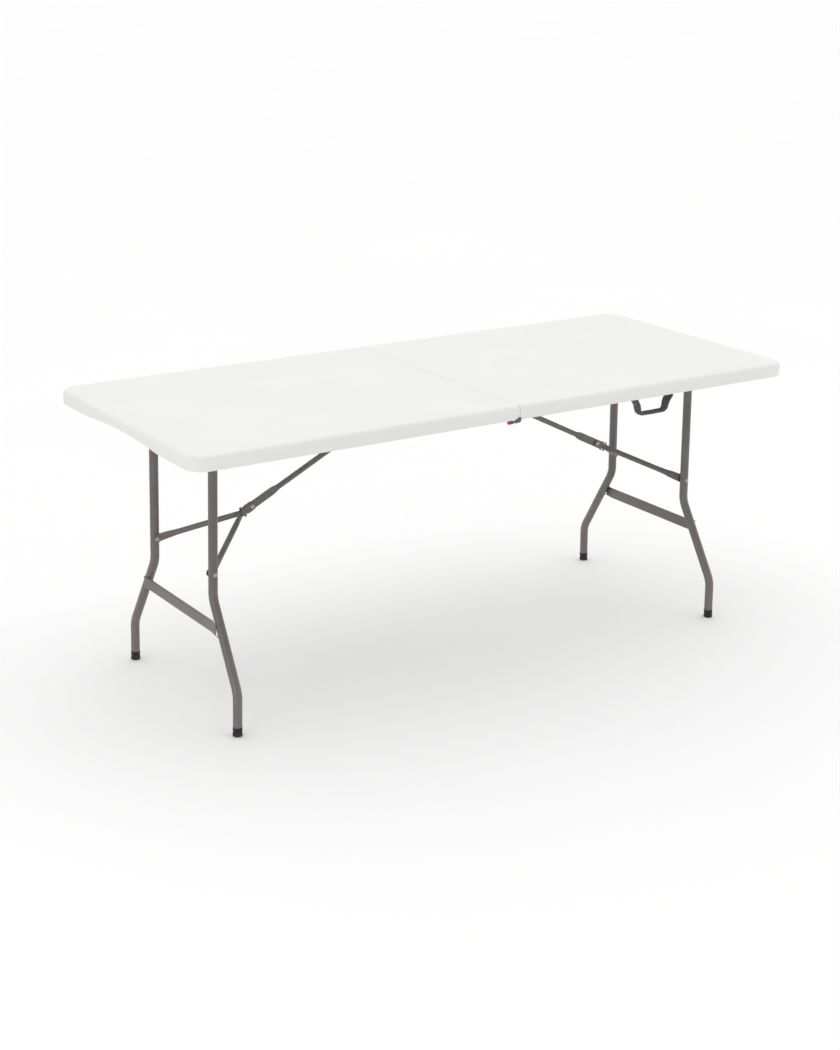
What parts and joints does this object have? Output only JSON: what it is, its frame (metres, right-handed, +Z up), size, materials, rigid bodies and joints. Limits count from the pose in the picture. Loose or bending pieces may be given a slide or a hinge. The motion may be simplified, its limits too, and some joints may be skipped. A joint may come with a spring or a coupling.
{
  "type": "folding table",
  "caption": "Long rectangular bi-fold table: moulded plastic top in hinged halves on folding tubular steel leg frames with braces and a carry handle.",
  "frame": {"origin": "on the floor under the middle of the top", "axes": "+Z up, +X along the table's length, towards the half with the carry handle; the carry handle is on the -Y long side"},
  "size_m": [1.8, 0.75, 0.74],
  "materials": {
    "top_plastic": "fine-textured white polyethylene",
    "frame_paint": "warm grey powder coat",
    "steel": "zinc-plated rivets and pins",
    "foot_rubber": "black matt rubber",
    "dark_plastic": "moulded charcoal plastic",
    "red_plastic": "moulded dark red plastic"
  },
  "bodies": {
    "left_half": {"tabletop_left": "top_plastic", "side_rail_rear_left": "frame_paint", "side_rail_front_left": "frame_paint", "pivot_bush_rear_left": "dark_plastic", "pivot_bush_front_left": "dark_plastic", "stay_bracket_left": "frame_paint", "anchor_pin_left": "steel", "hinge_leaf_rear_left": "frame_paint", "hinge_leaf_front_left": "frame_paint", "hinge_pin_rear": "frame_paint", "hinge_pin_front": "frame_paint"},
    "right_half": {"tabletop_right": "top_plastic", "side_rail_rear_right": "frame_paint", "side_rail_front_right": "frame_paint", "pivot_bush_rear_right": "dark_plastic", "pivot_bush_front_right": "dark_plastic", "stay_bracket_right": "frame_paint", "anchor_pin_right": "steel", "hinge_leaf_rear_right": "frame_paint", "hinge_leaf_front_right": "frame_paint", "handle_lug_right": "dark_plastic", "handle_lug_left": "dark_plastic"},
    "leg_frame_right": {"pivot_tube_right": "frame_paint", "stretcher_right": "frame_paint", "leg_rear_right": "frame_paint", "leg_front_right": "frame_paint", "foot_cap_rear_right": "foot_rubber", "foot_cap_front_right": "foot_rubber", "leg_rivet_rear_right": "steel", "leg_rivet_front_right": "steel"},
    "stay_right": {"stay_bar_right": "frame_paint"},
    "y_brace_right": {"brace_arm_rear_right": "frame_paint", "brace_arm_front_right": "frame_paint", "arm_rivet_rear_right": "steel", "arm_rivet_front_right": "steel", "knee_rivet_right": "steel"},
    "lock_ring_right": {"lock_ring_right": "frame_paint"},
    "leg_frame_left": {"pivot_tube_left": "frame_paint", "stretcher_left": "frame_paint", "leg_rear_left": "frame_paint", "leg_front_left": "frame_paint", "foot_cap_rear_left": "foot_rubber", "foot_cap_front_left": "foot_rubber", "leg_rivet_rear_left": "steel", "leg_rivet_front_left": "steel"},
    "stay_left": {"stay_bar_left": "frame_paint"},
    "y_brace_left": {"brace_arm_rear_left": "frame_paint", "brace_arm_front_left": "frame_paint", "arm_rivet_rear_left": "steel", "arm_rivet_front_left": "steel", "knee_rivet_left": "steel"},
    "lock_ring_left": {"lock_ring_left": "frame_paint"},
    "carry_handle": {"carry_handle": "dark_plastic"},
    "seam_latch": {"latch_tongue": "frame_paint", "latch_grip": "red_plastic"}
  },
  "joints": [
    {"name": "half_fold", "type": "hinge", "parent": "left_half", "child": "right_half", "pos_m": [0, 0, 0.703], "axis": [0, 1, 0], "range_deg": [0, 90]},
    {"name": "leg_fold_right", "type": "hinge", "parent": "right_half", "child": "leg_frame_right", "pos_m": [0.7386, 0, 0.71735], "axis": [0, 1, 0], "range_deg": [0, 91.23]},
    {"name": "stay_swing_right", "type": "hinge", "parent": "right_half", "child": "stay_right", "pos_m": [0.045, 0, 0.7215], "axis": [0, -1, 0], "range_deg": [0, 25.93]},
    {"name": "brace_knee_right", "type": "hinge", "parent": "stay_right", "child": "y_brace_right", "pos_m": [0.55262, 0, 0.47021], "axis": [0, 1, 0], "range_deg": [0, 179.6]},
    {"name": "lock_ring_slide_right", "type": "slide", "parent": "y_brace_right", "child": "lock_ring_right", "axis": [-0.8962, 0, 0.4437], "range_m": [0, 0.016]},
    {"name": "leg_fold_left", "type": "hinge", "parent": "left_half", "child": "leg_frame_left", "pos_m": [-0.7386, 0, 0.71735], "axis": [0, -1, 0], "range_deg": [0, 91.23]},
    {"name": "stay_swing_left", "type": "hinge", "parent": "left_half", "child": "stay_left", "pos_m": [-0.045, 0, 0.7215], "axis": [0, 1, 0], "range_deg": [0, 25.93]},
    {"name": "brace_knee_left", "type": "hinge", "parent": "stay_left", "child": "y_brace_left", "pos_m": [-0.55262, 0, 0.47021], "axis": [0, -1, 0], "range_deg": [0, 179.6]},
    {"name": "lock_ring_slide_left", "type": "slide", "parent": "y_brace_left", "child": "lock_ring_left", "axis": [0.8962, 0, 0.4437], "range_m": [0, 0.016]},
    {"name": "handle_swing", "type": "hinge", "parent": "right_half", "child": "carry_handle", "pos_m": [0.464, -0.3272, 0.7075], "axis": [1, 0, 0], "range_deg": [-12, 88]},
    {"name": "latch_swing", "type": "hinge", "parent": "left_half", "child": "seam_latch", "pos_m": [0, -0.37, 0.703], "axis": [0, -1, 0], "range_deg": [0, 30]}
  ],
  "couplings": [
    {"joint": "stay_swing_right", "follows": "leg_fold_right", "ratio": 0.28409},
    {"joint": "brace_knee_right", "follows": "leg_fold_right", "ratio": 1.9684},
    {"joint": "stay_swing_left", "follows": "leg_fold_left", "ratio": 0.28409},
    {"joint": "brace_knee_left", "follows": "leg_fold_left", "ratio": 1.9684}
  ]
}
